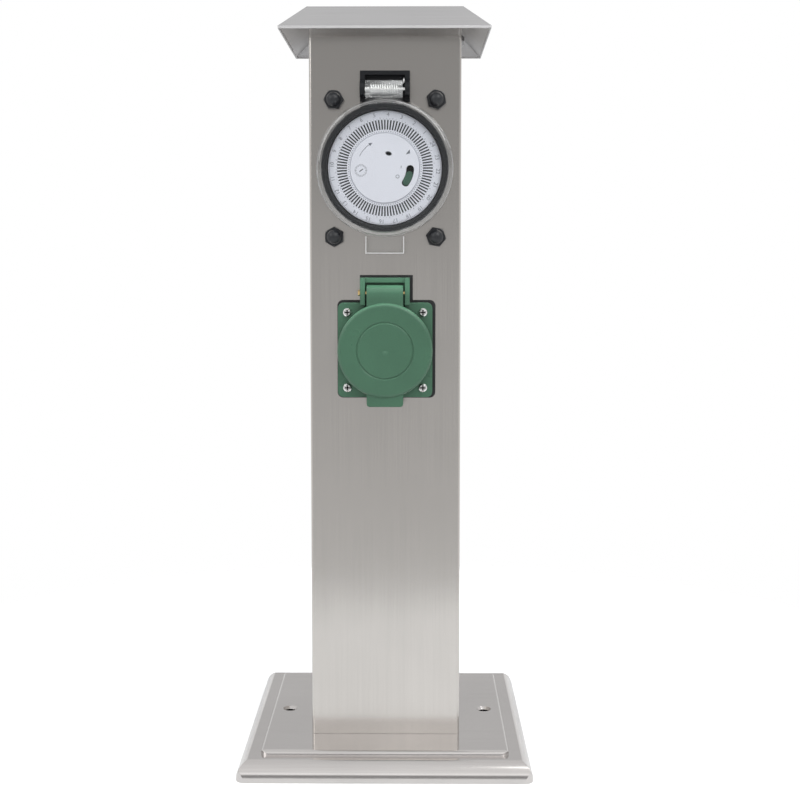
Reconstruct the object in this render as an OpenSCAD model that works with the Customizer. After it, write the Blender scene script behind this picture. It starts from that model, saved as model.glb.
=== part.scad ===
// Garden socket post: a brushed steel pillar on a stepped base, with a hipped
// roof, a twenty-four hour dial timer under a clear flap and one lidded socket.
// Millimetres. +Z is up, the front faces -Y, and the origin is the centre of
// the footprint on the ground.

/* [Post] */
// Outside width of the square post
post_w = 80; // [78:1:88]
// Length of the post, from the base to the roof
post_len = 388.5; // [370:0.5:450]
// Sheet thickness of the post
post_wall = 1.2; // [0.8:0.1:1.6]
// Outside radius of the folded edges
post_bend_r = 1.6; // [1:0.1:3]

/* [Base] */
// Width of the square base
base_w = 155; // [145:1:180]
// Height of the base
base_h = 12.8; // [12:0.2:18]
// Sheet thickness of the base
base_wall = 1.2; // [0.8:0.1:1.5]
// Height of the upright lip that stands on the ground
base_lip_h = 0.8; // [0.6:0.1:1.2]
// Radius of the rolled outer edge above the lip
base_roll_r = 11; // [10.5:0.1:12]
// How far the rolled edge reaches in
base_roll_in = 5.8; // [5.6:0.1:6]
// How far the raised middle lies inside the base's edge
step_in = 11.9; // [9.5:0.1:15]
// Radius along the edge of the raised middle
step_edge_r = 2; // [1.7:0.1:2.5]
// Radius of the base's upright corners
base_corner_r = 5; // [3:0.5:8]
// Distance of a ground fixing hole from the raised middle's edge
anchor_edge = 10.1; // [7:0.1:14]
// Diameter of a ground fixing hole
anchor_d = 6; // [5:0.5:7]
// Diameter of the pressed dimple round a fixing hole
dimple_d = 8.6; // [8:0.2:10]
// Bore of the grommet that the supply cable comes up through
inlet_d = 9.5; // [7:0.5:12]

/* [Roof] */
// How far the eaves stand out from the post
roof_overhang = 14.7; // [10:0.1:25]
// How far the flat top of the roof reaches past the post
roof_top_lap = 0.8; // [0.7:0.1:2]
// Height of the roof from eaves to top
roof_h = 13.4; // [11:0.2:20]
// Height of the upright lip at the eaves
roof_lip_h = 1.3; // [0.8:0.1:2.5]
// Sheet thickness of the roof
roof_wall = 0.8; // [0.7:0.1:1.2]
// Distance of the roof screws below the top of the post
roof_screw_drop = 10.7; // [9:0.1:14]

/* [Timer] */
// Distance of the middle of the dial below the top of the post
timer_drop = 83.1; // [75:0.1:110]
// Diameter of the turning dial
dial_d = 59.6; // [56:0.1:62]
// Width of the black bezel round the dial
bezel_lip = 3.45; // [3:0.05:4]
// How far the bezel stands out of the post
bezel_h = 10.5; // [9:0.1:11]
// How far the clear flap reaches past the bezel all round
flap_lap = 2.4; // [2.1:0.1:3]
// How far the clear flap stands out from the bezel
flap_rise = 3.5; // [3:0.1:5]
// Number of switching tappets on the dial
tappets = 96; // [48:24:96]
// Distance across between the four studs
stud_dx = 53.6; // [53:0.2:56]
// Distance in height between the four studs
stud_dz = 71.4; // [70:0.2:73]
// Thread diameter of the studs
stud_d = 5; // [4:0.5:5]
// Size across the flats of a cap nut
cap_nut_af = 9.4; // [9:0.1:10]
// Height of a cap nut
cap_nut_h = 8.6; // [8:0.1:10]

/* [Socket] */
// Distance of the middle of the socket below the middle of the dial
socket_drop = 95.3; // [86:0.1:150]
// Width of the square socket flange
flange_w = 50; // [49.6:0.1:52]
// Thickness of the socket flange
flange_t = 4; // [3.5:0.1:4.5]
// Distance between the flange screws, both ways
flange_pitch = 39.9; // [39.6:0.1:40.4]
// Thickness of the lid's skirt round the collar
lid_skirt_t = 2.8; // [2.4:0.1:3.2]
// Diameter of the well that the plug goes into
well_d = 39; // [38.6:0.1:39.2]
// Depth of the plug well
well_depth = 17.5; // [17:0.1:18.5]
// Distance between the two pin holes
pin_pitch = 19; // [18.8:0.1:19.2]
// Diameter of a pin hole
pin_hole_d = 5.5; // [5.2:0.1:5.8]

/* [Fits] */
// Radial clearance of a shaft that turns in its hole
running_gap = 0.05; // [0.02:0.01:0.1]
// Clearance between parts that move past each other
moving_gap = 0.3; // [0.25:0.05:0.4]
// Clearance round a part that is seated in another
seat_gap = 0.1; // [0.05:0.05:0.15]

/* [Hidden] */
$fn = 48;
overcut = 1;
cut_len = 90;

post_in = post_w - 2 * post_wall;
post_in_r = max(post_bend_r - post_wall, 0.2);
post_top_z = base_h + post_len;
total_h = post_top_z + roof_wall;
eave_z = total_h - roof_h;
front_y = -post_w / 2;

// Base
step_w = base_w - 2 * step_in;
anchor_spacing = step_w - 2 * anchor_edge;
ledge_h = base_lip_h + sqrt(pow(base_roll_r, 2) - pow(base_roll_r - base_roll_in, 2));
dimple_depth = 1.5;
grommet_r = 6;
grommet_lip = 2.5;
inlet_hole_r = inlet_d / 2 + grommet_r;
grommet_wall = 2;
dimple_t = 1.4;

// Foot bracket inside the post
bracket_t = 2;
bracket_depth = 60;
bracket_h = 40;
bracket_hole_r = inlet_hole_r + grommet_lip + 3;
foot_dx = 56;
foot_dy = 46;
foot_screw_d = 5;
foot_head_r = 4.4;
foot_head_h = 2.6;
foot_nut_h = 4;
foot_nut_af = 8;

// Terminal block and cable clamp on the bracket
block_t = 14;
block_h = 18;
pole_pitch = 12;
poles = 3;
block_z = base_h + bracket_t + 12;
block_y = -2;
block_x = -post_in / 2 + bracket_t;
pole_hole_r = 3;
pole_bore_r = 1.9;
peg_r = 1;
clamp_x = post_in / 2 - bracket_t;
clamp_w = 26;
clamp_h = 9;
clamp_t = 4;
clamp_z = base_h + bracket_t + 16;
clamp_post_h = 8;
screw_r = 1.5;
screw_head_r = 2.7;
screw_head_h = 1.8;
earth_x = 0;
earth_y = 23;
earth_r = 2;
earth_h = 12;

// Roof
roof_w = post_w + 2 * roof_overhang;
roof_top_w = post_w + 2 * roof_top_lap;
roof_collar_w = post_in - 2 * seat_gap;
roof_collar_h = 17;
roof_collar_t = 1.5;
roof_screw_r = 2;
roof_head_r = 3.1;
roof_head_h = 2.9;
roof_screw_z = post_top_z - roof_screw_drop;

// Timer: z runs out of the post's front face
timer_z = post_top_z - timer_drop;
dial_r = dial_d / 2;
bezel_r = dial_r + bezel_lip;
bezel_in_r = dial_r + moving_gap + 0.1;
spigot_r = bezel_in_r + 1.5;
panel_hole_r = spigot_r + 0.4;
gasket_t = 1;
dial_z = 7;
dial_t = 1.6;
plate_t = 2;
plate_z = -1.4;
flap_r = bezel_r + flap_lap;
flap_h = bezel_h + flap_rise;
flap_wall = 1.8;
flap_skirt_z = 3.2;
flap_round = 2.6;
hinge_y = flap_r + 5.05;
hinge_z = 6.5;
flap_barrel_r = 4.6;
flap_barrel_w = 20.2;
flap_bore_r = 3.5;
leg_room = 0.8;
hinge_pin_r = 1;
ear_t = 2.6;
ear_r = 4.4;
ear_x = flap_barrel_w / 2 + moving_gap;
bracket_low_y = hinge_y - 6.1;
bracket_top_y = hinge_y + 9.7;
bracket_bar = 2.2;
bracket_bar_z = 5;
bracket_back = 1.5;
tab_w = 20.2;
tab_low_y = flap_r + 8.85;
tab_t = 1.4;
tab_rim = 1;
slot_in_r = dial_r - 10;
slot_out_r = dial_r - 4.8;
face_r = slot_in_r - 1.8;
boss_r = face_r - 1.5;
boss_in_r = boss_r - 1.1;
face_t = 1.2;
face_z = dial_z + 0.4;
slot_w = 0.74;
tappet_w = 0.62;
tappet_drop = 0.25;
tappet_travel = 1.2;
carrier_floor_z = 1.4;
carrier_floor_t = 1.2;
carrier_wall_r = dial_r - 0.9;
dial_gear_teeth = 72;
dial_gear_m = 2 * (slot_in_r + 1.8) / dial_gear_teeth;
dial_gear_z = -0.6;
pinion_teeth = 12;
wheel_m = 0.4;
wheel_teeth = 40;
motor_teeth = 10;
train_r = dial_gear_m * (dial_gear_teeth + pinion_teeth) / 2;
train_a = -45;
wheel_z = -5.6;
wheel_t = 1.2;
arbor_r = 0.8;
motor_gap = wheel_m * (wheel_teeth + motor_teeth) / 2;
motor_at = train_r - motor_gap;
motor_plate_w = 50;
motor_plate_t = 1;
motor_plate_z = -12.4;
motor_r = 20;
motor_t = 13;
standoff_r = 2.5;
standoff_at = bezel_in_r - standoff_r - 3 * moving_gap;
lever_r = boss_in_r - 2.2;
knob_w = 3.6;
knob_low_a = -33;
knob_high_a = -15;
slot_w2 = 4;
slot_low_a = -35;
slot_high_a = -2;
mark_r = 7.75;
mark_w = 1.5;
mark_low_a = 71;
mark_high_a = 80;
lever_z = 3.6;
lever_t = 2.2;
pivot_r = 1.5;
tail_a = 160;
tail_len = 10;
plunger_at = [-7.6, 2.8];
plunger_r = 1.1;
switch_w = 20;
switch_h = 10;
switch_t = 6.5;
switch_peg_x = [-11.4, 3];
switch_peg_y = 5;
motor_screw_r = 1;
motor_screw_len = 5;
stud_head_r = 4;
stud_head_h = 1.6;
case_side_gap = 2.8;
case_lip = 5;
case_flange_w = post_in - 2 * case_side_gap;
case_flange_h = stud_dz + 12.6;
case_w = case_flange_w - 2 * case_lip;
case_h = stud_dz - 2 * stud_head_r - 1.4;
case_wall = 2;
case_flange_t = 3;
case_depth = 32;
case_tab_y = -22;
case_tab_pitch = 10;
case_tab_w = 6.3;
case_tab_t = 0.8;
case_tab_in = 4;
case_tab_out = 8;

// Socket: z runs out of the post's front face
socket_z = timer_z - socket_drop;
socket_gasket_t = 1;
gasket_dx = 0.6;
gasket_dy = 0.3;
gasket_grow = 1.2;
flange_z = socket_gasket_t;
flange_face = flange_z + flange_t;
flange_corner_r = 3;
flange_screw_r = 1.5;
flange_head_r = 2.25;
flange_head_h = 1.3;
well_r = well_d / 2;
body_r = well_r + 2;
collar_r = well_r + 2.4;
collar_h = 3.5;
well_floor = flange_face + collar_h - well_depth;
insert_t = 3;
body_end = -34;
back_t = 2;
sleeve_r = 3.4;
sleeve_in_r = 2.45;
sleeve_front = well_floor - insert_t - 1;
sleeve_len = 15;
contact_end = body_end + 1;
lead_bore_r = 1.9;
strap_w = 8;
strap_t = 0.8;
strap_slack = 0.2;
strap_y = well_r - 2;
strap_front = 3;
lid_r = collar_r + moving_gap + lid_skirt_t;
lid_z = flange_face + flange_head_h + moving_gap;
lid_face = flange_face + collar_h + 4;
lid_wall = 2;
lid_round = 2;
lid_ring_r = 15.2;
lid_pin_y = lid_r + 5.2;
lid_pin_z = 6.5;
lid_barrel_r = 4.2;
lid_tongue_w = 19.2;
lid_bore_r = 3.1;
lid_tab_y = lid_r + 4.6;
lid_tab_h = 10;
lid_tab_t = 3;
hood_in = lid_tongue_w / 2 + 0.8;
hood_wall = 2.6;
hood_plate_t = 1.2;
hood_top_y = lid_pin_y + 8;
hood_low_y = lid_r - 1.1;
hood_bar_z = 6.5;
hood_side_z = 9.5;
lid_pin_head = 1.2;

// Springs: a helix of round wire with a straight leg at its end
wire_r = 0.35;
coil_r = 2.3;
coil_pitch = 1.2;
flap_coils = 12;
lid_coils = 8;
rings_per_coil = 8;
wire_sides = 6;

// Leads: points chosen by hand, from the block up to the timer and the socket
lead_r = 1.3;
lead_sides = 8;
lead_steps = 4;

// Shared shapes

module rounded_rect(w, h, r) {
  square([w - 2 * r, h], center = true);
  square([w, h - 2 * r], center = true);
  for (x = [-1, 1], y = [-1, 1])
    translate([x * (w / 2 - r), y * (h / 2 - r)]) circle(r = r);
}

module ring(r_out, r_in, h) {
  difference() {
    cylinder(r = r_out, h = h);
    translate([0, 0, -overcut]) cylinder(r = r_in, h = h + 2 * overcut);
  }
}

// Side view of a block whose two upper edges are rounded
module rounded_top(w, h, r, drop) {
  translate([-w / 2, -drop]) square([w, h - r + drop]);
  translate([-w / 2 + r, -drop]) square([w - 2 * r, h + drop]);
  for (x = [-1, 1]) translate([x * (w / 2 - r), h - r]) circle(r = r);
}

// Square block with rounded upper edges and rounded upright corners
module pressed_block(w, h, edge_r, corner_r, drop = 0) {
  intersection() {
    rotate([90, 0, 0]) linear_extrude(w + 2, center = true) rounded_top(w, h, edge_r, drop);
    rotate([90, 0, 90]) linear_extrude(w + 2, center = true) rounded_top(w, h, edge_r, drop);
    translate([0, 0, -drop]) linear_extrude(h + drop) rounded_rect(w, w, corner_r);
  }
}

// Side view of the rolled outer edge, whose curve ends in a crease at the height h
module rolled_side(w, h, lip, r, drop) {
  intersection() {
    translate([-w / 2, -drop]) square([w, h + drop]);
    union() {
      translate([-w / 2, -drop]) square([w, lip + drop]);
      translate([r - w / 2, -drop]) square([w - 2 * r, h + drop]);
      for (x = [-1, 1]) translate([x * (w / 2 - r), lip]) circle(r = r);
    }
  }
}

module rolled_block(w, h, lip, r, corner_r, drop = 0) {
  intersection() {
    rotate([90, 0, 0]) linear_extrude(w + 2, center = true) rolled_side(w, h, lip, r, drop);
    rotate([90, 0, 90]) linear_extrude(w + 2, center = true) rolled_side(w, h, lip, r, drop);
    translate([0, 0, -drop]) linear_extrude(h + drop) rounded_rect(w, w, corner_r);
  }
}

module hexagon(af) {
  circle(r = af / 2 / cos(30), $fn = 6);
}

function polar(r, a) = r * [cos(a), sin(a)];

// Curved slot of width w round the origin, with round ends
module arc_slot(r, w, a0, a1) {
  run = [for (i = [0 : 10]) a0 + (a1 - a0) * i / 10];
  turn = [for (i = [1 : 7]) 180 * i / 8];
  polygon(concat([for (a = run) polar(r + w / 2, a)],
    [for (b = turn) polar(r, a1) + polar(w / 2, a1 + b)],
    [for (i = [10 : -1 : 0]) polar(r - w / 2, run[i])],
    [for (b = turn) polar(r, a0) + polar(w / 2, a0 + 180 + b)]));
}

// Involute flank point at radius r for base radius rb
function flank(rb, r) = let (t = sqrt(max(pow(r / rb, 2) - 1, 0))) t * 180 / PI - atan(t);

// Spur gear outline with some backlash
module gear_outline(m, teeth, slack = 0.08) {
  rp = m * teeth / 2;
  rb = rp * cos(20);
  r0 = rp - 1.2 * m;
  r1 = rp + 0.9 * m;
  half = 90 / teeth - slack / rp * 180 / PI;
  radii = [max(rb, r0), rp, r1];
  side = [for (r = radii) [r, half + flank(rb, rp) - flank(rb, r)]];
  polygon([for (k = [0 : teeth - 1]) let (c = k * 360 / teeth)
    each concat([r0 * [cos(c - side[0][1]), sin(c - side[0][1])]],
      [for (s = side) s[0] * [cos(c - s[1]), sin(c - s[1])]],
      [for (i = [2 : -1 : 0]) side[i][0] * [cos(c + side[i][1]), sin(c + side[i][1])]],
      [r0 * [cos(c + side[0][1]), sin(c + side[0][1])]])]);
}

// Pan head screw along +z, its head on top of z = 0, with a cross recess
module pan_screw(r, length, head_r, head_h) {
  translate([0, 0, -length]) cylinder(r = r, h = length + head_h / 2);
  difference() {
    union() {
      cylinder(r = head_r, h = head_h * 0.55);
      translate([0, 0, head_h * 0.55]) cylinder(r1 = head_r, r2 = head_r * 0.7, h = head_h * 0.45);
    }
    for (a = [0, 90]) rotate(a) translate([0, 0, head_h])
      cube([head_r * 1.2, head_r * 0.24, head_h * 1.1], center = true);
  }
}

module nut(af, h, r) {
  difference() {
    linear_extrude(h) hexagon(af);
    translate([0, 0, -overcut]) cylinder(r = r, h = h + 2 * overcut);
  }
}

// Smooth curve through points, a number of steps for each span
function spline(p, n) = let (last = len(p) - 1) concat([for (i = [0 : last - 1], k = [0 : n - 1])
  let (t = k / n, a = p[max(i - 1, 0)], b = p[i], c = p[i + 1], d = p[min(i + 2, last)])
  0.5 * (2 * b + t * (c - a) + t * t * (2 * a - 5 * b + 4 * c - d)
    + t * t * t * (3 * b - a - 3 * c + d))], [p[last]]);

function unit(v) = v / norm(v);

// Round tube along a path whose direction never runs along the side vector
module sweep(path, r, sides, side) {
  n = len(path);
  rings = [for (i = [0 : n - 1])
    let (t = unit(path[min(i + 1, n - 1)] - path[max(i - 1, 0)]),
      u = unit(cross(t, side)), v = cross(t, u))
    each [for (k = [0 : sides - 1]) path[i] + r * (cos(k * 360 / sides) * u + sin(k * 360 / sides) * v)]];
  walls = [for (i = [0 : n - 2], k = [0 : sides - 1])
    let (a = i * sides + k, b = i * sides + (k + 1) % sides)
    each [[a, b + sides, b], [a, a + sides, b + sides]]];
  cap0 = [for (k = [1 : sides - 2]) [0, k, k + 1]];
  cap1 = [for (k = [1 : sides - 2]) (n - 1) * sides * [1, 1, 1] + [0, k + 1, k]];
  polyhedron(concat(rings), concat(walls, cap0, cap1), convexity = 6);
}

// Torsion spring along x, with a leg that leaves through the given points
module torsion_spring(coils, legs, name) {
  start = -coils * coil_pitch / 2;
  steps = coils * rings_per_coil;
  helix = [for (i = [0 : steps]) let (a = 360 * i / rings_per_coil)
    [start + coil_pitch * i / rings_per_coil, coil_r * cos(a), coil_r * sin(a)]];
  gap = min([for (i = [0 : steps], j = [i + 5 : steps]) norm(helix[i] - helix[j])]) - 2 * wire_r;
  echo(str(name, " least gap to itself in mm"), gap);
  path = concat(helix, legs);
  sweep(path, wire_r, wire_sides, [0.1, 0.05, 1]);
}

module at_timer() {
  translate([0, front_y, timer_z]) rotate([90, 0, 0]) children();
}

module at_socket() {
  translate([0, front_y, socket_z]) rotate([90, 0, 0]) children();
}

module at_studs() {
  for (x = [-1, 1], y = [-1, 1]) translate([x * stud_dx / 2, y * stud_dz / 2, 0]) children();
}

module at_flange_screws() {
  for (x = [-1, 1], y = [-1, 1]) translate([x, y] * flange_pitch / 2) children();
}

module at_standoffs() {
  for (a = [-135, 45, 135])
    rotate(a) translate([standoff_at, 0, motor_plate_z + motor_plate_t]) children();
}

module at_pegs() {
  for (x = switch_peg_x) translate([plunger_at[0] + x, plunger_at[1] + switch_peg_y, 0]) children();
}

module at_foot_screws() {
  for (x = [-1, 1], y = [-1, 1]) translate([x * foot_dx / 2, y * foot_dy / 2, 0]) children();
}

module at_poles() {
  for (i = [0 : poles - 1])
    translate([block_x + block_t / 2, block_y + (i - 1) * pole_pitch, block_z]) children();
}

// Post, base and roof

module post_tube() {
  color("silver") difference() {
    translate([0, 0, base_h]) linear_extrude(post_len) difference() {
      rounded_rect(post_w, post_w, post_bend_r);
      rounded_rect(post_in, post_in, post_in_r);
    }
    at_timer() translate([0, 0, -2 * post_wall]) {
      cylinder(r = panel_hole_r, h = 3 * post_wall);
      at_studs() cylinder(r = stud_d / 2 + seat_gap, h = 3 * post_wall);
    }
    at_socket() translate([0, 0, -2 * post_wall]) {
      cylinder(r = body_r + moving_gap, h = 3 * post_wall);
      at_flange_screws() cylinder(r = flange_screw_r + seat_gap, h = 3 * post_wall);
    }
    for (x = [-1, 1]) translate([x * post_w / 2, 0, roof_screw_z]) rotate([0, 90, 0])
      cylinder(r = roof_screw_r + seat_gap, h = 3 * post_wall, center = true);
  }
}

module base_cover() {
  color("silver") difference() {
    union() {
      difference() {
        union() {
          rolled_block(base_w, ledge_h, base_lip_h, base_roll_r, base_corner_r);
          pressed_block(step_w, base_h, step_edge_r, base_corner_r - 1);
        }
        rolled_block(base_w - 2 * base_wall, ledge_h - base_wall, base_lip_h, base_roll_r - base_wall,
          base_corner_r - base_wall, overcut);
        pressed_block(step_w - 2 * base_wall, base_h - base_wall, step_edge_r - base_wall,
          base_corner_r - 1 - base_wall, overcut);
      }
      for (x = [-1, 1]) translate([x * anchor_spacing / 2, 0, base_h - base_wall - dimple_depth])
        cylinder(r = dimple_d / 2 + base_wall, h = dimple_depth + base_wall / 2);
    }
    for (x = [-1, 1]) translate([x * anchor_spacing / 2, 0, 0]) {
      cylinder(r = anchor_d / 2, h = base_h + overcut);
      translate([0, 0, base_h - dimple_t]) cylinder(r1 = anchor_d / 2, r2 = dimple_d / 2, h = dimple_t);
      translate([0, 0, base_h]) cylinder(r = dimple_d / 2, h = overcut);
    }
    translate([0, 0, ledge_h - base_wall - overcut]) cylinder(r = inlet_hole_r, h = base_h);
    at_foot_screws() cylinder(r = foot_screw_d / 2 + seat_gap, h = base_h + overcut);
  }
}

module foot_bracket() {
  color("lightgrey") difference() {
    translate([0, 0, base_h]) union() {
      translate([-post_in / 2, -bracket_depth / 2, 0]) cube([post_in, bracket_depth, bracket_t]);
      for (x = [0, 1]) translate([-post_in / 2 + x * (post_in - bracket_t), -bracket_depth / 2, 0])
        cube([bracket_t, bracket_depth, bracket_h]);
    }
    cylinder(r = bracket_hole_r, h = 3 * base_h);
    at_foot_screws() cylinder(r = foot_screw_d / 2 + seat_gap, h = 3 * base_h);
    translate([earth_x, earth_y, 0]) cylinder(r = earth_r + seat_gap, h = 3 * base_h);
    for (y = [-1, 1]) {
      translate([block_x, block_y + y * pole_pitch / 2, block_z + block_h - 7]) rotate([0, 90, 0])
        cylinder(r = peg_r + running_gap, h = 3 * bracket_t, center = true);
      translate([clamp_x, y * (clamp_w / 2 - 4), clamp_z + clamp_h / 2]) rotate([0, 90, 0])
        cylinder(r = screw_r, h = 3 * bracket_t, center = true);
    }
  }
}

module base_screws() {
  color("grey") at_foot_screws() translate([0, 0, base_h - base_wall]) mirror([0, 0, 1])
    pan_screw(foot_screw_d / 2, base_wall + bracket_t + foot_nut_h + 1.5, foot_head_r, foot_head_h);
}

module base_nuts() {
  color("grey") at_foot_screws() translate([0, 0, base_h + bracket_t])
    nut(foot_nut_af, foot_nut_h, foot_screw_d / 2 + running_gap);
}

module cable_grommet() {
  low = base_h - base_wall - grommet_wall;
  color("black") translate([0, 0, low]) difference() {
    union() {
      cylinder(r = inlet_hole_r - seat_gap, h = base_wall + 2 * grommet_wall);
      for (z = [0, grommet_wall + base_wall])
        translate([0, 0, z]) cylinder(r = inlet_hole_r + grommet_lip, h = grommet_wall);
    }
    translate([0, 0, -overcut]) cylinder(r = inlet_d / 2, h = cut_len);
  }
}

module cable_clamp() {
  color("white") translate([clamp_x - clamp_post_h, -clamp_w / 2, clamp_z]) difference() {
    union() {
      cube([clamp_t, clamp_w, clamp_h]);
      for (y = [0, clamp_w - 8]) translate([0, y, 0]) cube([clamp_post_h, 8, clamp_h]);
    }
    for (y = [4, clamp_w - 4]) translate([-overcut, y, clamp_h / 2]) rotate([0, 90, 0])
      cylinder(r = screw_r + seat_gap, h = clamp_post_h + 2 * overcut);
  }
}

module clamp_screws() {
  color("grey") for (y = [-1, 1])
    translate([clamp_x - clamp_post_h, y * (clamp_w / 2 - 4), clamp_z + clamp_h / 2])
      rotate([0, -90, 0])
        pan_screw(screw_r - running_gap, clamp_post_h + bracket_t - 0.2, screw_head_r, screw_head_h);
}

module terminal_block() {
  color("ivory") difference() {
    union() {
      translate([block_x, block_y - poles * pole_pitch / 2, block_z])
        cube([block_t, poles * pole_pitch, block_h - 4]);
      at_poles() translate([-block_t / 2, -4.4, 0]) cube([block_t, 8.8, block_h]);
      for (y = [-1, 1]) translate([block_x - bracket_t, block_y + y * pole_pitch / 2, block_z + block_h - 7])
        rotate([0, 90, 0]) cylinder(r = peg_r, h = bracket_t + overcut);
    }
    at_poles() {
      translate([0, 0, -overcut]) cylinder(r = pole_hole_r, h = block_h + 2 * overcut);
      translate([0, 0, block_h / 2]) rotate([0, 90, 0]) cylinder(r = screw_head_r - 0.6, h = block_t);
    }
  }
}

module block_inserts() {
  color("gold") at_poles() translate([0, 0, 2]) difference() {
    cylinder(r = pole_hole_r - running_gap, h = block_h - 5);
    translate([0, 0, -overcut]) cylinder(r = pole_bore_r, h = block_h);
    translate([0, 0, block_h / 2 - 2]) rotate([0, 90, 0]) cylinder(r = screw_r, h = block_t);
  }
}

module block_screws() {
  reach = block_t / 2 - 0.5;
  color("silver") at_poles() translate([reach, 0, block_h / 2]) rotate([0, 90, 0]) difference() {
    union() {
      translate([0, 0, pole_bore_r - reach]) cylinder(r = screw_r - running_gap, h = reach - pole_bore_r);
      translate([0, 0, -2]) cylinder(r = screw_head_r - 0.7, h = 2);
    }
    cube([screw_head_r * 2, 0.6, 1.4], center = true);
  }
}

module earth_stud() {
  color("silver") translate([earth_x, earth_y, base_h]) {
    cylinder(r = earth_r, h = bracket_t + earth_h);
  }
}

module earth_nut() {
  color("silver") translate([earth_x, earth_y, base_h + bracket_t])
    nut(7, 3.2, earth_r + running_gap);
}

// Solid with a flat square top, sloping sides and an upright lip
module hipped_side(w, top_w, h, lip_h, drop) {
  rotate([90, 0, 0]) linear_extrude(w + 2, center = true)
    polygon([[-w / 2, -drop], [w / 2, -drop], [w / 2, lip_h], [top_w / 2, h],
      [-top_w / 2, h], [-w / 2, lip_h]]);
}

module hipped(w, top_w, h, lip_h, drop = 0) {
  intersection() {
    hipped_side(w, top_w, h, lip_h, drop);
    rotate(90) hipped_side(w, top_w, h, lip_h, drop);
  }
}

module roof_cap() {
  slope = atan((roof_h - roof_lip_h) / ((roof_w - roof_top_w) / 2));
  color("silver") translate([0, 0, eave_z]) difference() {
    hipped(roof_w, roof_top_w, roof_h, roof_lip_h);
    hipped(roof_w - 2 * roof_wall, roof_top_w - 2 * roof_wall * tan(slope / 2), roof_h - roof_wall,
      roof_lip_h - roof_wall * tan(45 - slope / 2), overcut);
  }
}

module roof_collar() {
  color("lightgrey") difference() {
    translate([0, 0, post_top_z - roof_collar_h]) linear_extrude(roof_collar_h) difference() {
      rounded_rect(roof_collar_w, roof_collar_w, post_bend_r);
      square(roof_collar_w - 2 * roof_collar_t, center = true);
    }
    for (x = [-1, 1]) translate([x * post_in / 2, 0, roof_screw_z]) rotate([0, 90, 0])
      cylinder(r = roof_screw_r + running_gap, h = 4 * roof_collar_t, center = true);
  }
}

module roof_screws() {
  color("silver") for (x = [-1, 1]) translate([x * post_w / 2, 0, roof_screw_z]) rotate([0, x * 90, 0])
    pan_screw(roof_screw_r, post_wall + roof_collar_t + 3, roof_head_r, roof_head_h);
}

// Timer

module timer_bezel() {
  color("dimgray") at_timer() difference() {
    union() {
      rotate_extrude() polygon([[bezel_in_r, plate_z], [spigot_r, plate_z], [spigot_r, gasket_t],
        [bezel_r, gasket_t], [bezel_r, bezel_h - 0.6], [bezel_r - 0.6, bezel_h],
        [bezel_in_r + 0.9, bezel_h], [bezel_in_r, bezel_h - 0.9]]);
      difference() {
        translate([-ear_x - ear_t, bezel_in_r + 0.8, gasket_t])
          cube([2 * (ear_x + ear_t), bracket_top_y - bezel_in_r - 0.8, bracket_back - gasket_t]);
        translate([0, 0, -overcut]) cylinder(r = bezel_in_r + 0.5, h = 2 * overcut + bracket_back);
      }
      translate([-ear_x - ear_t, bracket_low_y, 0])
        cube([2 * (ear_x + ear_t), bracket_top_y - bracket_low_y, bracket_back]);
      translate([-ear_x - ear_t, bracket_top_y - bracket_bar, 0])
        cube([2 * (ear_x + ear_t), bracket_bar, bracket_bar_z]);
      for (x = [-ear_x - ear_t, ear_x]) translate([x, 0, 0]) {
        translate([0, bracket_low_y, 0]) cube([ear_t, bracket_top_y - bracket_low_y, bracket_bar_z]);
        translate([0, hinge_y - ear_r, 0]) cube([ear_t, 2 * ear_r, hinge_z]);
        translate([0, hinge_y, hinge_z]) rotate([0, 90, 0]) cylinder(r = ear_r, h = ear_t);
      }
    }
    translate([0, hinge_y, hinge_z]) rotate([0, 90, 0])
      cylinder(r = hinge_pin_r + running_gap, h = 4 * ear_x, center = true);
  }
}

module timer_gasket() {
  color("black") at_timer() ring(bezel_r - 0.3, panel_hole_r, gasket_t);
}

module timer_housing() {
  color("dimgray") at_timer() difference() {
    union() {
      translate([0, 0, -post_wall - case_flange_t]) linear_extrude(case_flange_t)
        rounded_rect(case_flange_w, case_flange_h, 4);
      translate([0, 0, -case_depth]) linear_extrude(case_depth - post_wall - case_flange_t)
        rounded_rect(case_w, case_h, 3);
    }
    translate([0, 0, -case_depth + case_wall])
      linear_extrude(case_depth - case_wall - post_wall - case_flange_t)
        rounded_rect(case_w - 2 * case_wall, case_h - 2 * case_wall, 2);
    translate([0, 0, -post_wall - case_flange_t - 0.5]) cylinder(r = bezel_in_r, h = 2 * case_flange_t);
    translate([0, 0, plate_z - plate_t]) cylinder(r = spigot_r + seat_gap, h = 2 * case_flange_t);
    at_studs() translate([0, 0, -2 * case_flange_t])
      cylinder(r = stud_d / 2 + running_gap, h = 3 * case_flange_t);
    for (i = [0 : 3]) translate([(i - 1.5) * case_tab_pitch, case_tab_y, -case_depth])
      cube([case_tab_w + 0.2, case_tab_t + 0.2, 4 * case_wall], center = true);
  }
}

module timer_studs() {
  color("silver") at_timer() at_studs() translate([0, 0, -post_wall - case_flange_t]) {
    cylinder(r = stud_d / 2, h = post_wall + case_flange_t + cap_nut_h - 3);
    translate([0, 0, -stud_head_h]) cylinder(r = stud_head_r, h = stud_head_h);
  }
}

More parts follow.
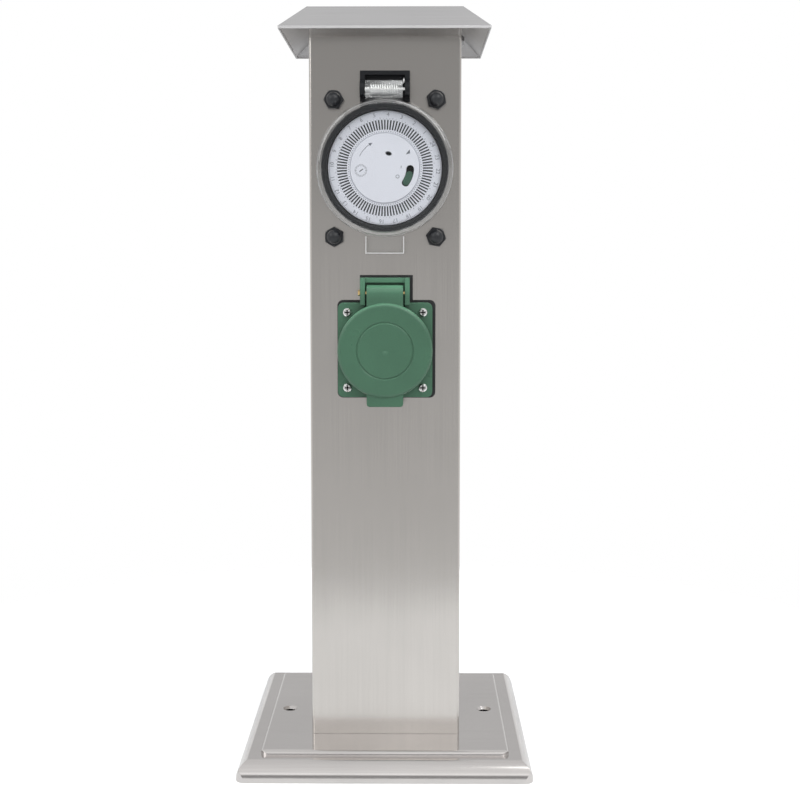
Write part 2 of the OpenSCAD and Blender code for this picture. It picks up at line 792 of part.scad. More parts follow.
module cap_nuts() {
  turns = [0, 20, 28, 12];
  color("black") at_timer() for (i = [0 : 3])
    translate([(i % 2 * 2 - 1) * stud_dx / 2, (floor(i / 2) * 2 - 1) * stud_dz / 2, 0]) difference() {
      union() {
        intersection() {
          rotate(turns[i] + 30) linear_extrude(cap_nut_h * 0.52) hexagon(cap_nut_af);
          cylinder(r1 = cap_nut_af / 2 + 2.2, r2 = cap_nut_af / 2 + 0.1, h = cap_nut_h * 0.52);
        }
        cylinder(r = cap_nut_af * 0.4, h = cap_nut_h - cap_nut_af * 0.3);
        translate([0, 0, cap_nut_h - cap_nut_af * 0.3]) intersection() {
          cylinder(r = cap_nut_af, h = cap_nut_af);
          translate([0, 0, -cap_nut_af * 0.117]) sphere(r = cap_nut_af * 0.417);
        }
      }
      translate([0, 0, -overcut]) cylinder(r = stud_d / 2 + running_gap, h = cap_nut_h - 3 + overcut + 0.2);
    }
}

module clear_flap() {
  inner = bezel_r + 2 * moving_gap + 0.05;
  relief_w = 2 * (ear_x + ear_t + 2);
  barrel_len = flap_barrel_w - leg_room;
  face_in = flap_h - flap_wall;
  arc = [for (i = [0 : 6]) [flap_r - flap_round, flap_h - flap_round] + polar(flap_round, i * 15)];
  color("lightcyan", 0.4) at_timer() difference() {
    union() {
      difference() {
        rotate_extrude() polygon(concat([[inner, flap_skirt_z], [flap_r, flap_skirt_z]], arc,
          [[0, flap_h], [0, face_in], [inner - 1.5, face_in], [inner, face_in - 1.5]]));
        translate([-relief_w / 2, inner * 0.8, 0]) cube([relief_w, inner, hinge_z - 1]);
      }
      translate([-tab_w / 2, -tab_low_y, flap_h - flap_round - tab_t])
        cube([tab_w, tab_low_y - inner - 0.4, tab_t]);
      translate([-tab_w / 2, -tab_low_y, flap_h - flap_round - tab_t])
        cube([tab_w, tab_rim, 2 * tab_t]);
      for (x = [-tab_w / 2, tab_w / 2 - tab_rim]) translate([x, -tab_low_y, flap_h - flap_round - tab_t])
        cube([tab_rim, tab_low_y - inner - 0.4, 2 * tab_t]);
      difference() {
        translate([-flap_barrel_w / 2, inner + 0.1, hinge_z - 1])
          cube([barrel_len, hinge_y - inner - 0.1, flap_barrel_r + 0.5]);
        translate([0, 0, -overcut]) cylinder(r = inner, h = cut_len);
      }
      translate([-flap_barrel_w / 2, hinge_y, hinge_z]) rotate([0, 90, 0])
        cylinder(r = flap_barrel_r, h = barrel_len);
    }
    translate([0, hinge_y, hinge_z]) rotate([0, 90, 0])
      cylinder(r = hinge_pin_r + running_gap, h = 2 * flap_barrel_w, center = true);
    translate([-flap_barrel_w / 2 + 2.6, hinge_y, hinge_z]) rotate([0, 90, 0])
      cylinder(r = flap_bore_r, h = flap_barrel_w);
  }
}

module flap_pin() {
  color("silver") at_timer() translate([0, hinge_y, hinge_z]) rotate([0, 90, 0])
    cylinder(r = hinge_pin_r, h = 2 * (ear_x + ear_t) - 0.4, center = true);
}

module flap_spring() {
  leg_x = flap_barrel_w / 2 - leg_room / 2 + 0.15;
  color("silver") at_timer() translate([0, hinge_y, hinge_z])
    torsion_spring(flap_coils, [[leg_x - 1, coil_r, 0.9], [leg_x, coil_r + 1, 0.9], [leg_x, 5, 0.6],
      [leg_x, 5.8, -0.6], [leg_x, 5.8, -2.4], [leg_x, 5.8, bracket_back - hinge_z + 0.05]], "flap spring");
}

module time_dial() {
  color("white") at_timer() difference() {
    rotate_extrude() polygon([[face_r + moving_gap, dial_z - dial_t], [dial_r, dial_z - dial_t],
      [dial_r, dial_z - 0.3], [dial_r - 0.3, dial_z], [face_r + moving_gap, dial_z]]);
    for (i = [0 : tappets - 1]) rotate(i * 360 / tappets)
      translate([(slot_in_r + slot_out_r) / 2, 0, dial_z])
        cube([slot_out_r - slot_in_r, slot_w * 96 / tappets, 4 * dial_t], center = true);
  }
}

module dial_carrier() {
  wall_z = dial_z - dial_t;
  color("black") at_timer() {
    rotate_extrude() polygon([[boss_r + running_gap, dial_gear_z], [slot_in_r - 0.6, dial_gear_z],
      [slot_in_r - 0.6, carrier_floor_z], [carrier_wall_r, carrier_floor_z], [carrier_wall_r, wall_z],
      [slot_out_r + 0.4, wall_z], [slot_out_r + 0.4, carrier_floor_z + carrier_floor_t],
      [slot_in_r - 0.4, carrier_floor_z + carrier_floor_t], [slot_in_r - 0.4, wall_z],
      [boss_r + running_gap, wall_z]]);
    translate([0, 0, dial_gear_z]) linear_extrude(carrier_floor_z - dial_gear_z) difference() {
      rotate(train_a + 180 / dial_gear_teeth) gear_outline(dial_gear_m, dial_gear_teeth);
      circle(r = slot_in_r - 1);
    }
  }
}

module tappet_blade() {
  low = carrier_floor_z + carrier_floor_t + tappet_travel + 0.2;
  translate([slot_in_r + 0.2, -tappet_w * 48 / tappets, low])
    cube([slot_out_r - slot_in_r - 0.4, tappet_w * 96 / tappets, dial_z - tappet_drop - low]);
}

module tappets() {
  color("black") at_timer() for (i = [1 : tappets - 1]) rotate(90 + i * 360 / tappets) tappet_blade();
}

module single_tappet() {
  color("black") at_timer() rotate(90) tappet_blade();
}

module dial_face() {
  color("white") at_timer() translate([0, 0, face_z - face_t]) linear_extrude(face_t) difference() {
    circle(r = face_r);
    arc_slot(lever_r, slot_w2, slot_low_a, slot_high_a);
    arc_slot(mark_r, mark_w, mark_low_a, mark_high_a);
  }
}

module override_lever() {
  color("seagreen") at_timer() difference() {
    union() {
      translate([0, 0, lever_z]) linear_extrude(lever_t) {
        circle(r = 3.4);
        arc_slot(lever_r, knob_w, knob_low_a, knob_high_a);
        rotate((knob_low_a + knob_high_a) / 2) translate([0, -2]) square([lever_r, 4]);
        rotate(tail_a) translate([0, -1.8]) square([tail_len, 3.6]);
      }
      translate([0, 0, lever_z]) linear_extrude(face_z - lever_z + 0.1)
        arc_slot(lever_r, knob_w, knob_low_a, knob_high_a);
    }
    translate([0, 0, -overcut]) cylinder(r = pivot_r + running_gap, h = cut_len);
  }
}

module movement_plate() {
  color("dimgray") at_timer() difference() {
    union() {
      translate([0, 0, plate_z - plate_t]) cylinder(r = spigot_r, h = plate_t);
      translate([0, 0, plate_z]) ring(boss_r, boss_in_r, face_z - face_t - plate_z);
      translate([0, 0, plate_z]) cylinder(r = pivot_r, h = lever_z + lever_t - plate_z);
      translate([0, 0, plate_z]) cylinder(r = pivot_r + 1.5, h = lever_z - 0.2 - plate_z);
      at_standoffs() cylinder(r = standoff_r, h = plate_z - plate_t - motor_plate_z - motor_plate_t + 0.5);
      at_pegs() translate([0, 0, plate_z - plate_t - switch_t]) cylinder(r = peg_r, h = switch_t + 0.5);
    }
    at_standoffs() translate([0, 0, -overcut]) cylinder(r = motor_screw_r, h = motor_screw_len);
    rotate(train_a) translate([train_r, 0, -cut_len / 2]) cylinder(r = arbor_r + running_gap, h = cut_len);
    translate([plunger_at[0], plunger_at[1], plate_z - 2 * plate_t])
      cylinder(r = plunger_r + seat_gap, h = 3 * plate_t);
  }
}

module reduction_gear() {
  color("ivory") at_timer() rotate(train_a) translate([train_r, 0, 0]) {
    translate([0, 0, dial_gear_z + 0.1]) linear_extrude(carrier_floor_z - dial_gear_z - 0.4)
      rotate(180) gear_outline(dial_gear_m, pinion_teeth);
    translate([0, 0, wheel_z]) linear_extrude(wheel_t) gear_outline(wheel_m, wheel_teeth);
    translate([0, 0, motor_plate_z]) cylinder(r = arbor_r, h = dial_gear_z - motor_plate_z + 0.2);
  }
}

module motor_pinion() {
  color("gold") at_timer() rotate(train_a) translate([motor_at, 0, 0]) {
    translate([0, 0, wheel_z]) linear_extrude(wheel_t)
      rotate(180 / motor_teeth) gear_outline(wheel_m, motor_teeth);
    translate([0, 0, motor_plate_z - 3]) cylinder(r = arbor_r, h = wheel_z + wheel_t - motor_plate_z + 3);
  }
}

module timer_motor() {
  color("silver") at_timer() difference() {
    union() {
      translate([0, 0, motor_plate_z]) linear_extrude(motor_plate_t)
        rounded_rect(motor_plate_w, motor_plate_w, 4);
      translate([0, 0, motor_plate_z - motor_t]) cylinder(r = motor_r, h = motor_t);
    }
    rotate(train_a) {
      translate([motor_at, 0, motor_plate_z - 3.2]) cylinder(r = arbor_r + running_gap, h = cut_len);
      translate([train_r, 0, motor_plate_z - overcut]) cylinder(r = arbor_r + running_gap, h = cut_len);
    }
    at_standoffs() translate([0, 0, -3 * motor_plate_t])
      cylinder(r = motor_screw_r + seat_gap, h = 4 * motor_plate_t);
  }
}

module motor_screws() {
  color("grey") at_timer() at_standoffs() translate([0, 0, -motor_plate_t]) mirror([0, 0, 1])
    pan_screw(motor_screw_r - running_gap, motor_plate_t + motor_screw_len - overcut - 0.5, 2.2, 1.3);
}

module microswitch() {
  top = plate_z - plate_t;
  color("black") at_timer() difference() {
    union() {
      translate([plunger_at[0] - switch_w / 2 - 4, plunger_at[1] - 3, top - switch_t])
        cube([switch_w, switch_h, switch_t]);
      for (x = [0, 6])
        translate([plunger_at[0] - switch_w / 2 - 2 + x, plunger_at[1] + 1.6, top - switch_t - 1.2])
          cube([2.8, 0.5, 2]);
    }
    translate([plunger_at[0], plunger_at[1], top - 4]) cylinder(r = plunger_r + running_gap, h = 5);
    at_pegs() translate([0, 0, top - switch_t - overcut]) cylinder(r = peg_r + running_gap, h = cut_len);
  }
}

module switch_plunger() {
  low = plate_z - plate_t - 2.6;
  color("red") at_timer() translate([plunger_at[0], plunger_at[1], low])
    cylinder(r = plunger_r, h = lever_z - 0.2 - low);
}

module timer_tabs() {
  color("gold") at_timer() for (i = [0 : 3])
    translate([(i - 1.5) * case_tab_pitch, case_tab_y, -case_depth - case_tab_out / 2 + case_tab_in / 2])
      cube([case_tab_w, case_tab_t, case_tab_in + case_tab_out], center = true);
}

// Socket

module socket_outline(grow) {
  rounded_rect(flange_w + 2 * grow, flange_w + 2 * grow, flange_corner_r);
  translate([-hood_in - hood_wall - grow, 0])
    square([2 * (hood_in + hood_wall + grow), hood_top_y + grow]);
}

module socket_gasket() {
  color("black") at_socket() difference() {
    translate([gasket_dx, gasket_dy, 0]) linear_extrude(socket_gasket_t) socket_outline(gasket_grow - 0.2);
    translate([0, 0, -overcut]) cylinder(r = body_r + moving_gap, h = 3 * socket_gasket_t);
    at_flange_screws() translate([0, 0, -overcut])
      cylinder(r = flange_screw_r + seat_gap, h = 3 * socket_gasket_t);
  }
}

module socket_frame() {
  color("seagreen") at_socket() difference() {
    union() {
      translate([0, 0, flange_z]) linear_extrude(flange_t)
        rounded_rect(flange_w, flange_w, flange_corner_r);
      translate([0, 0, flange_z]) linear_extrude(hood_plate_t)
        translate([-hood_in - hood_wall, 0]) square([2 * (hood_in + hood_wall), hood_top_y]);
      translate([0, 0, well_floor - insert_t - 2])
        cylinder(r = body_r, h = flange_face - well_floor + insert_t);
      translate([0, 0, flange_z]) cylinder(r = collar_r, h = flange_t + collar_h);
      for (x = [-hood_in - hood_wall, hood_in]) translate([x, hood_low_y, flange_z])
        cube([hood_wall, hood_top_y - hood_low_y, hood_side_z - flange_z]);
      translate([-hood_in - hood_wall, hood_top_y - hood_wall, flange_z])
        cube([2 * (hood_in + hood_wall), hood_wall, hood_bar_z - flange_z]);
    }
    translate([0, 0, -cut_len / 2]) cylinder(r = well_r, h = cut_len);
    at_flange_screws() cylinder(r = flange_screw_r + seat_gap, h = cut_len);
    translate([-hood_in, collar_r - 0.6, flange_z + hood_plate_t])
      cube([2 * hood_in, hood_top_y - hood_wall - collar_r + 0.6, cut_len]);
    translate([0, lid_pin_y, lid_pin_z]) rotate([0, 90, 0])
      cylinder(r = hinge_pin_r + running_gap, h = cut_len, center = true);
  }
}

module strap_slots() {
  for (y = [-1, 1])
    translate([-strap_w / 2 - strap_slack, y * strap_y - strap_t / 2 - strap_slack, -cut_len / 2])
      cube([strap_w + 2 * strap_slack, strap_t + 2 * strap_slack, cut_len]);
}

module socket_insert() {
  color("darkgreen") at_socket() difference() {
    union() {
      translate([0, 0, well_floor - insert_t - 2]) cylinder(r = well_r - seat_gap, h = insert_t + 2);
      translate([0, 0, body_end]) cylinder(r = body_r, h = well_floor - insert_t - 2 - body_end);
    }
    for (x = [-1, 1]) translate([x * pin_pitch / 2, 0, 0]) {
      translate([0, 0, -cut_len / 2]) cylinder(r = pin_hole_d / 2, h = cut_len);
      translate([0, 0, sleeve_front - cut_len]) cylinder(r = sleeve_r + seat_gap, h = cut_len);
      translate([-4.1, -4.1, body_end - overcut]) cube([8.2, 8.2, 7 + overcut]);
    }
    strap_slots();
    translate([-strap_w / 2 - strap_slack, -strap_y, body_end - overcut])
      cube([strap_w + 2 * strap_slack, 2 * strap_y, back_t + overcut]);
  }
}

module contact_sleeves() {
  color("gold") at_socket() for (x = [-1, 1]) translate([x * pin_pitch / 2, 0, 0]) difference() {
    union() {
      translate([0, 0, sleeve_front - sleeve_len]) cylinder(r = sleeve_r, h = sleeve_len);
      translate([-4, -4, contact_end]) cube([8, 8, 5.6]);
      translate([0, 0, contact_end]) cylinder(r = sleeve_r, h = sleeve_front - sleeve_len - contact_end);
    }
    translate([0, 0, sleeve_front - sleeve_len + 1]) cylinder(r = sleeve_in_r, h = sleeve_len);
    translate([0, 0, contact_end - overcut]) cylinder(r = lead_bore_r, h = 5);
  }
}

module earth_strap() {
  back = body_end + strap_t + 2 * strap_slack;
  color("gold") at_socket() {
    for (y = [-1, 1]) translate([-strap_w / 2, y * strap_y - strap_t / 2, back])
      cube([strap_w, strap_t, strap_front - back]);
    translate([strap_slack - strap_w / 2, -strap_y, back])
      cube([strap_w - 2 * strap_slack, 2 * strap_y, strap_t]);
  }
}

module socket_back() {
  color("darkgreen") at_socket() translate([0, 0, body_end - back_t]) difference() {
    cylinder(r = body_r, h = back_t);
    for (x = [-1, 1]) translate([x * pin_pitch / 2, 0, -overcut]) cylinder(r = lead_bore_r + 0.3, h = 10);
    translate([0, -strap_y + 5, -overcut]) cylinder(r = lead_bore_r, h = 10);
  }
}

module socket_lid() {
  seat = collar_r + moving_gap;
  face_in = lid_face - lid_wall;
  arc = [for (i = [0 : 6]) [lid_r - lid_round, lid_face - lid_round - 0.4] + polar(lid_round, i * 15)];
  color("seagreen") at_socket() difference() {
    union() {
      rotate_extrude() polygon(concat([[seat, lid_z], [lid_r, lid_z]], arc,
        [[lid_ring_r, lid_face - 0.1], [lid_ring_r - 0.2, lid_face - 0.4],
         [lid_ring_r - 0.7, lid_face - 0.4], [lid_ring_r - 0.9, lid_face],
         [0, lid_face + 0.1], [0, face_in], [seat, face_in]]));
      translate([-lid_tongue_w / 2, lid_r - 3, lid_pin_z - 0.1])
        cube([lid_tongue_w, lid_pin_y - lid_r + 3, lid_barrel_r + 0.1]);
      translate([0, lid_pin_y, lid_pin_z]) rotate([0, 90, 0])
        cylinder(r = lid_barrel_r, h = lid_tongue_w, center = true);
      translate([0, lid_tab_h / 2 - lid_tab_y, lid_face - 1.5 * lid_tab_t]) linear_extrude(lid_tab_t)
        rounded_rect(lid_tongue_w, lid_tab_h, 1.6);
    }
    translate([0, 0, -overcut]) cylinder(r = seat, h = face_in + overcut);
    translate([0, lid_pin_y, lid_pin_z]) rotate([0, 90, 0]) {
      cylinder(r = hinge_pin_r + running_gap, h = cut_len, center = true);
      cylinder(r = lid_bore_r, h = lid_tongue_w - 5, center = true);
    }
  }
}

module lid_pin() {
  reach = hood_in + hood_wall;
  color("gold") at_socket() translate([-reach - lid_pin_head, lid_pin_y, lid_pin_z]) rotate([0, 90, 0]) {
    cylinder(r = hinge_pin_r, h = 2 * reach + lid_pin_head - 0.3);
    cylinder(r = hinge_pin_r + 0.5, h = lid_pin_head - 0.1);
  }
}

module lid_spring() {
  color("silver") at_socket() translate([0, lid_pin_y, lid_pin_z])
    torsion_spring(lid_coils, [[lid_coils * coil_pitch / 2 + 0.9, coil_r - 0.1, 0.6],
      [lid_coils * coil_pitch / 2 + 1.8, coil_r - 0.2, 0.6]], "lid spring");
}

module flange_screws() {
  color("silver") at_socket() translate([0, 0, flange_face]) at_flange_screws()
    pan_screw(flange_screw_r, flange_face + post_wall + 4, flange_head_r, flange_head_h);
}

module flange_nuts() {
  color("silver") at_socket() at_flange_screws() translate([0, 0, -post_wall - 2.4])
    nut(5.5, 2.4, flange_screw_r + running_gap);
}

// Leads held inside the post

module lead(points) {
  sweep(spline(points, lead_steps), lead_r, lead_sides, [1, 0, 0]);
}

module tab_lead(i, pole, mid_x, mid_y) {
  tab_x = (i - 1.5) * case_tab_pitch;
  tab_yy = front_y + case_depth + case_tab_out;
  tab_zz = timer_z + case_tab_y;
  pole_x = block_x + block_t / 2;
  pole_y = block_y + (pole - 1) * pole_pitch;
  top = block_z + block_h;
  lead([[pole_x, pole_y, top - 5], [pole_x, pole_y, top + 1], [pole_x, pole_y, top + 7],
    [mid_x, mid_y, top + 50], [mid_x, mid_y, (top + tab_zz) / 2], [tab_x, mid_y + 2, tab_zz - 40],
    [tab_x, tab_yy + 14, tab_zz - 10], [tab_x, tab_yy + 8, tab_zz], [tab_x, tab_yy + 4, tab_zz],
    [tab_x, tab_yy, tab_zz]]);
}

module socket_lead(x, pole, mid_x, mid_y) {
  end_y = front_y - contact_end - 2.6;
  pole_x = block_x + block_t / 2;
  pole_y = block_y + (pole - 1) * pole_pitch;
  top = block_z + block_h;
  lead([[pole_x, pole_y, top - 5], [pole_x, pole_y, top + 1], [pole_x, pole_y, top + 7],
    [mid_x, mid_y, top + 40], [mid_x, mid_y, socket_z - 60], [x, mid_y, socket_z - 22],
    [x, end_y + 14, socket_z - 4], [x, end_y + 8, socket_z], [x, end_y + 4, socket_z], [x, end_y, socket_z]]);
}

module live_leads() {
  tab_x = 1.5 * case_tab_pitch;
  tab_yy = front_y + case_depth + case_tab_out;
  tab_zz = timer_z + case_tab_y;
  end_y = front_y - contact_end - 2.6;
  x = pin_pitch / 2;
  color("saddlebrown") {
    tab_lead(0, 0, -26, 4);
    lead([[tab_x, tab_yy, tab_zz], [tab_x, tab_yy + 4, tab_zz], [tab_x, tab_yy + 8, tab_zz],
      [tab_x, tab_yy + 12, tab_zz - 10], [x + 2, tab_yy + 10, (tab_zz + socket_z) / 2],
      [x, end_y + 14, socket_z + 8], [x, end_y + 8, socket_z], [x, end_y + 4, socket_z],
      [x, end_y, socket_z]]);
  }
}

module neutral_leads() {
  color("royalblue") {
    tab_lead(1, 2, -14, 26);
    socket_lead(-pin_pitch / 2, 1, -24, 14);
  }
}

module earth_leads() {
  strap_yy = front_y - body_end - strap_t - 2 * strap_slack;
  low = socket_z - strap_y + 5;
  top = base_h + bracket_t + earth_h;
  color("yellowgreen") lead([[earth_x, earth_y, top], [earth_x, earth_y, top + 4],
    [earth_x, earth_y, top + 10], [10, 28, 80], [12, 28, low - 60], [0, 20, low - 20],
    [0, strap_yy + 14, low - 3], [0, strap_yy + 7, low],
    [0, strap_yy + 3.5, low], [0, strap_yy, low]]);
}

post_tube();
base_cover();
foot_bracket();
base_screws();
base_nuts();
cable_grommet();
cable_clamp();
clamp_screws();
terminal_block();
block_inserts();
block_screws();
earth_stud();
earth_nut();
roof_cap();
roof_collar();
roof_screws();
timer_bezel();
timer_gasket();
timer_housing();
timer_studs();
cap_nuts();
clear_flap();
flap_pin();
flap_spring();
time_dial();
dial_carrier();
tappets();
single_tappet();
dial_face();
override_lever();
movement_plate();
reduction_gear();
motor_pinion();
timer_motor();
motor_screws();
microswitch();
switch_plunger();
timer_tabs();
socket_gasket();
socket_frame();
socket_insert();
contact_sleeves();
earth_strap();
socket_back();
socket_lid();
lid_pin();
lid_spring();
flange_screws();
flange_nuts();
live_leads();
neutral_leads();
earth_leads();
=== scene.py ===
import bpy
import bmesh
import math
from mathutils import Matrix, Vector


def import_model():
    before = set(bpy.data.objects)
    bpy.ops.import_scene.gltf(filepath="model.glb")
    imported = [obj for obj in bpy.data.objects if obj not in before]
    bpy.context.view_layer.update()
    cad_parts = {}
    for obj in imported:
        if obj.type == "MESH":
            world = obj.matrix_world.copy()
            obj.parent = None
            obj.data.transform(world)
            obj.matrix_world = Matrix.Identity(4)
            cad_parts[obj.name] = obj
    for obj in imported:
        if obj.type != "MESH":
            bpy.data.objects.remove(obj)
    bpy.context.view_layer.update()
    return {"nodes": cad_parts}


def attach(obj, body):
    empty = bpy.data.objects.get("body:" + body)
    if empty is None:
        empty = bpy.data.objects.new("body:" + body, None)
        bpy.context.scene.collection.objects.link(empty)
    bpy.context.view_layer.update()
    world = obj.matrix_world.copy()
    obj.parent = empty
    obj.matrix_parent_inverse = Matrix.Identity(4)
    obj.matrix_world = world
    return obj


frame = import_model()
nodes = frame["nodes"]

# Real sizes in metres, as in the part's source
FRONT = -0.040
TIMER_Z = 0.3182
SOCKET_Z = 0.2229
SCREW_AT = 0.01995
SCREW_TOP = 0.00590
DIAL_Z = 0.0070
FACE_Z = 0.0074
FACE_R = 0.01814
SLOT_IN = 0.0198
SLOT_OUT = 0.0250
TAPPETS = 96
BARREL_Z = TIMER_Z + 0.0362
FLAP_R = 0.03565
TAB_LOW = 0.0445
TAB_W = 0.0202
TAB_Z = 0.0100


# Node helpers

class Nodes:
    """A node tree with short calls."""

    def __init__(self, tree):
        self.tree = tree
        self.tree.nodes.clear()

    def add(self, kind, **values):
        node = self.tree.nodes.new(kind)
        for key, value in values.items():
            setattr(node, key, value)
        return node

    def link(self, a, b):
        self.tree.links.new(a, b)

    def range(self, value, a, b, c, d):
        """A value from a to b becomes one from c to d."""
        node = self.add("ShaderNodeMapRange")
        for key, number in zip(("From Min", "From Max", "To Min", "To Max"), (a, b, c, d)):
            node.inputs[key].default_value = number
        self.link(value, node.inputs["Value"])
        return node.outputs["Result"]

    def math(self, kind, a, b):
        node = self.add("ShaderNodeMath", operation=kind)
        for socket, value in zip(node.inputs, (a, b)):
            if isinstance(value, (int, float)):
                socket.default_value = value
            else:
                self.link(value, socket)
        return node.outputs[0]

    def weigh(self, a, share_a, b, share_b):
        """Two values added by their shares."""
        return self.math("ADD", self.math("MULTIPLY", a, share_a), self.math("MULTIPLY", b, share_b))

    def ramp(self, value, *stops):
        node = self.add("ShaderNodeValToRGB")
        ramp = node.color_ramp
        while len(ramp.elements) < len(stops):
            ramp.elements.new(0.5)
        for element, (place, colour) in zip(ramp.elements, stops):
            element.position = place
            element.color = (*colour, 1.0)
        self.link(value, node.inputs["Fac"])
        return node.outputs["Color"]

    def split(self, vector):
        """The X, Y and Z of a vector."""
        node = self.add("ShaderNodeSeparateXYZ")
        self.link(vector, node.inputs["Vector"])
        return node.outputs

    def ray(self, *kinds):
        """1 for rays of the named kinds."""
        path = self.add("ShaderNodeLightPath")
        value = path.outputs[kinds[0]]
        for kind in kinds[1:]:
            value = self.math("MAXIMUM", value, path.outputs[kind])
        return value

    def blend(self, fac, a, b):
        """Shader a where fac is 0, shader b where it is 1."""
        node = self.add("ShaderNodeMixShader")
        for socket, value in zip(node.inputs, (fac, a, b)):
            self.link(value, socket)
        return node.outputs[0]


class Net(Nodes):
    """A material with a Principled shader."""

    def __init__(self, name):
        self.mat = bpy.data.materials.new(name)
        self.mat.use_nodes = True
        super().__init__(self.mat.node_tree)
        self.out = self.add("ShaderNodeOutputMaterial")
        self.bsdf = self.add("ShaderNodeBsdfPrincipled").outputs["BSDF"]
        self.show(self.bsdf)
        self.coord = self.add("ShaderNodeTexCoord").outputs["Object"]

    def show(self, shader):
        self.link(shader, self.out.inputs["Surface"])

    def set(self, **values):
        """Numbers and colours on the shader's own sockets."""
        for key, value in values.items():
            self.bsdf.node.inputs[key.replace("_", " ")].default_value = value

    def feed(self, **values):
        """Links to the shader's own sockets."""
        for key, value in values.items():
            self.link(value, self.bsdf.node.inputs[key.replace("_", " ")])

    def scaled(self, x, y, z):
        node = self.add("ShaderNodeMapping")
        node.inputs["Scale"].default_value = (x, y, z)
        self.link(self.coord, node.inputs["Vector"])
        return node.outputs["Vector"]

    def noise(self, vector, scale, detail=3.0, rough=0.55):
        node = self.add("ShaderNodeTexNoise")
        node.inputs["Scale"].default_value = scale
        node.inputs["Detail"].default_value = detail
        node.inputs["Roughness"].default_value = rough
        self.link(vector, node.inputs["Vector"])
        return node.outputs["Fac"]

    def mottle(self, value, colour, contrast):
        """A colour that varies a little with a value."""
        return self.ramp(value, (0.35, shade(colour, 1 - contrast)), (0.65, shade(colour, 1 + contrast)))

    def tint(self, colour, factor):
        """A colour times a factor."""
        node = self.add("ShaderNodeVectorMath", operation="SCALE")
        if isinstance(colour, tuple):
            node.inputs[0].default_value = colour
        else:
            self.link(colour, node.inputs[0])
        self.link(factor, node.inputs["Scale"])
        return node.outputs[0]

    def bump(self, height, distance, strength, base):
        node = self.add("ShaderNodeBump")
        node.inputs["Strength"].default_value = strength
        node.inputs["Distance"].default_value = distance
        self.link(height, node.inputs["Height"])
        self.link(base, node.inputs["Normal"])
        return node.outputs["Normal"]

    def edge(self, radius):
        """Normal that rounds every sharp edge by a radius."""
        node = self.add("ShaderNodeBevel", samples=4)
        node.inputs["Radius"].default_value = radius
        return node.outputs["Normal"]

    def lay(self, x, y, z):
        """Stretch the highlights along one direction of the row frame."""
        node = self.add("ShaderNodeCombineXYZ")
        for socket, number in zip(node.inputs, (x, y, z)):
            socket.default_value = number
        self.feed(Tangent=node.outputs[0])


def shade(colour, k):
    return tuple(min(1.0, c * k) for c in colour)


def brushed(name, colour, grain, rough, bands, shaded_underside=1.0, upright_light=0.0):
    """Sheet metal brushed along the grain axis, X or Z.

    bands is the share of wide streaks, the next argument is the tone of faces that look down, which is
    painted shade, and the last is how much lighter and duller upright faces are, the lighter part being
    painted light.
    """
    net = Net(name)
    stretch = {"X": (14, 2200, 2200), "Z": (2200, 2200, 14)}[grain]
    wide = {"X": (2, 150, 150), "Z": (150, 150, 2)}[grain]
    across = {"X": (0, 1, 0), "Z": (1, 0, 0)}[grain]
    fine = net.noise(net.scaled(*stretch), 1.0, 4.0, 0.6)
    broad = net.noise(net.scaled(*wide), 1.0, 3.0, 0.5)
    cloud = net.noise(net.coord, 14.0, 3.0, 0.5)
    mix = net.math("ADD", net.weigh(fine, 0.55 - bands, broad, bands), net.math("MULTIPLY", cloud, 0.45))
    upward = net.split(net.add("ShaderNodeNewGeometry").outputs["Normal"])["Z"]
    # painted shade: faces that look down get a darker tone, and a rougher one
    shade_and_dullness = net.range(upward, -0.3, -0.1, 1.0 - shaded_underside, 0.0)
    lit = net.math("SUBTRACT", net.range(mix, 0.36, 0.64, 0.94, 1.06), shade_and_dullness)
    # painted light: upright faces get a lighter tone, and a rougher one
    if upright_light:
        upright_faces = net.range(net.math("ABSOLUTE", upward, 0.0), 0.1, 0.25, upright_light, 0.0)
        lit = net.math("ADD", lit, upright_faces)
        shade_and_dullness = net.math("ADD", shade_and_dullness, upright_faces)
    worn = net.range(mix, 0.35, 0.65, rough + 0.03, rough - 0.03)
    net.feed(Base_Color=net.tint(colour, lit),
             Roughness=net.math("ADD", worn, shade_and_dullness),
             Normal=net.bump(fine, 0.000006, 0.4, net.edge(0.0004)))
    net.set(Metallic=1.0, Anisotropic=0.5)
    net.lay(*across)
    return net.mat


def metal(name, colour, rough):
    """Plain metal with a fine grain."""
    net = Net(name)
    grain = net.noise(net.coord, 900.0, 3.0)
    cloud = net.noise(net.coord, 60.0, 3.0)
    mix = net.weigh(grain, 0.6, cloud, 0.4)
    net.feed(Base_Color=net.mottle(mix, colour, 0.06),
             Roughness=net.range(mix, 0.35, 0.65, rough * 1.15, rough * 0.85),
             Normal=net.bump(grain, 0.00001, 0.4, net.edge(0.0002)))
    net.set(Metallic=1.0)
    return net.mat


def plastic(name, colour, rough, contrast=0.05, gloss=0.5, edge=0.0004, clouds=45.0, top_light=1.0):
    """Moulded plastic with a fine speckle.

    The last argument is painted light from above: how much lighter faces that look up are made, and in
    part the hood of the socket's hinge.
    """
    net = Net(name)
    grain = net.noise(net.coord, 2600.0, 2.0)
    cloud = net.noise(net.coord, clouds, 3.0)
    tint = net.mottle(net.weigh(grain, 0.4, cloud, 0.6), colour, contrast)
    round_normal = net.edge(edge)
    # painted light from above: faces that look up, and the top band of the socket's hinge hood, get a
    # lighter tone
    if top_light > 1.0:
        hood = 1.0 + 0.55 * (top_light - 1.0)
        high = net.range(net.split(net.coord)["Z"], SOCKET_Z + 0.0275, SOCKET_Z + 0.0335, 1.0, hood)
        looks_up = net.range(net.split(round_normal)["Z"], 0.3, 0.8, 1.0, top_light)
        tint = net.tint(tint, net.math("MAXIMUM", looks_up, high))
    net.feed(Base_Color=tint,
             Roughness=net.range(cloud, 0.35, 0.65, rough * 1.12, rough * 0.88),
             Normal=net.bump(grain, 0.000015, 0.5, round_normal))
    net.set(Specular_IOR_Level=gloss)
    return net.mat


